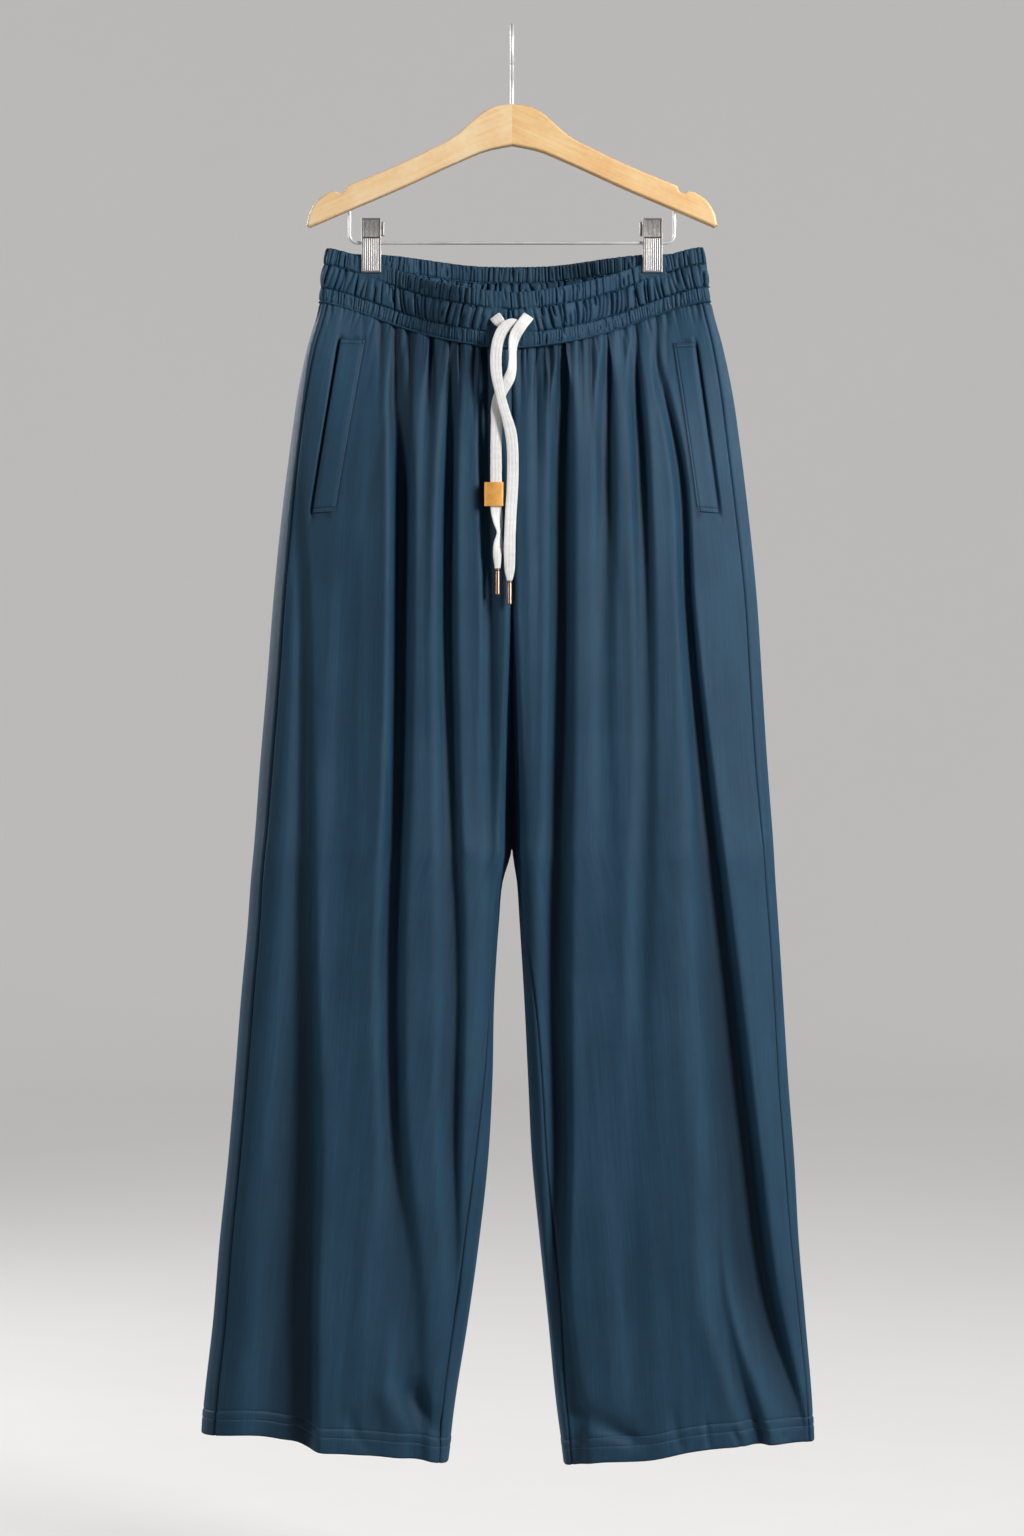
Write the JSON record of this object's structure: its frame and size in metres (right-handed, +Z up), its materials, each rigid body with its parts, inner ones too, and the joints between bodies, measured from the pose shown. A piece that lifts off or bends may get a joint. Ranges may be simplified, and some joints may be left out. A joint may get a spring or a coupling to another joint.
{
  "type": "wide-leg drawstring pants on a wooden clip hanger",
  "caption": "Long wide-leg pull-on pants with a shirred elastic waistband, side pocket welts and a flat drawcord, hanging by the waist from a wooden clip hanger.",
  "frame": {"origin": "the top of the inside of the hanger's hook, where it rests on a rail", "axes": "+X to the viewer's right seen from the front, the front faces -Y, +Z up"},
  "size_m": [0.5507, 0.1155, 1.2936],
  "materials": {
    "cloth": "matt blue knit with a soft sheen",
    "cord": "flat white braid",
    "tip": "polished rose copper",
    "tab": "smooth tan",
    "hanger_wood": "clear satin lacquer on pale wood",
    "wire": "bright plated wire",
    "clip": "ribbed satin steel"
  },
  "bodies": {
    "root": {"front_left": "cloth", "front_right": "cloth", "back_left": "cloth", "back_right": "cloth", "waistband_front": "cloth", "waistband_back": "cloth", "pocket_welt_left": "cloth", "pocket_welt_right": "cloth", "drawcord_left": "cord", "drawcord_right": "cord", "cord_tip_left": "tip", "cord_tip_right": "tip", "cord_tab": "tab", "hanger_arm_left": "hanger_wood", "hanger_arm_right": "hanger_wood", "hook": "wire", "bar": "wire", "clip_left_front": "clip", "clip_left_back": "clip", "clip_right_front": "clip", "clip_right_back": "clip"}
  },
  "joints": []
}
